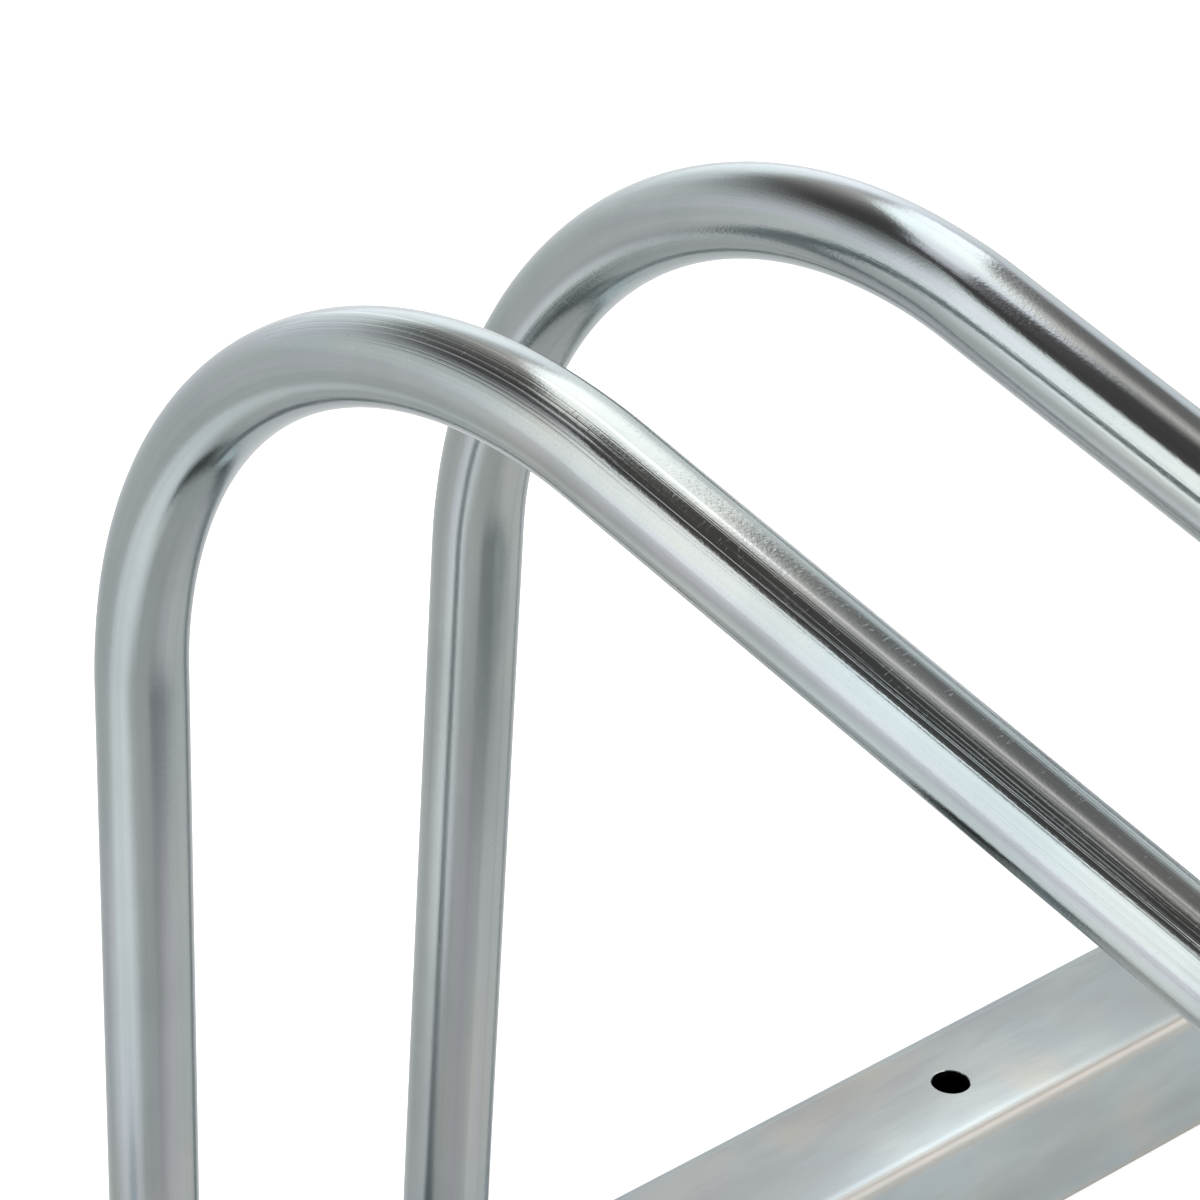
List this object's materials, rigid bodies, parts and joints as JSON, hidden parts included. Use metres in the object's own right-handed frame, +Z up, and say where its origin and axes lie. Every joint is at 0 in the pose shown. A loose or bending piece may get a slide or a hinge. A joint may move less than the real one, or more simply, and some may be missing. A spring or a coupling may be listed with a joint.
{
  "type": "floor bicycle rack",
  "caption": "Low floor rack for bicycles: leaning pairs of bent round-tube hoops, welded to square rails, hold each front wheel upright.",
  "frame": {"origin": "on the floor, under the middle of the rack's outer box", "axes": "+Z up, +X to the right along the rails seen from the front, +Y from the low front edge to the tall rear edge"},
  "size_m": [1.006, 0.362, 0.3143],
  "materials": {
    "rail_zinc": "bright zinc plate, softly mottled",
    "hoop_zinc": "bright zinc plate with lengthwise draw lines",
    "weld_zinc": "rippled weld bead under dull zinc plate",
    "cap_plastic": "fine grained black moulding"
  },
  "bodies": {
    "root": {"rear_rail": "rail_zinc", "front_rail": "rail_zinc", "hoop_1_left": "hoop_zinc", "hoop_1_right": "hoop_zinc", "hoop_2_left": "hoop_zinc", "hoop_2_right": "hoop_zinc", "hoop_3_left": "hoop_zinc", "hoop_3_right": "hoop_zinc", "rear_left_cap": "cap_plastic", "rear_right_cap": "cap_plastic", "front_left_cap": "cap_plastic", "front_right_cap": "cap_plastic", "weld_1_left_rear": "weld_zinc", "weld_1_left_front": "weld_zinc", "weld_1_right_rear": "weld_zinc", "weld_1_right_front": "weld_zinc", "weld_2_left_rear": "weld_zinc", "weld_2_left_front": "weld_zinc", "weld_2_right_rear": "weld_zinc", "weld_2_right_front": "weld_zinc", "weld_3_left_rear": "weld_zinc", "weld_3_left_front": "weld_zinc", "weld_3_right_rear": "weld_zinc", "weld_3_right_front": "weld_zinc"}
  },
  "joints": []
}
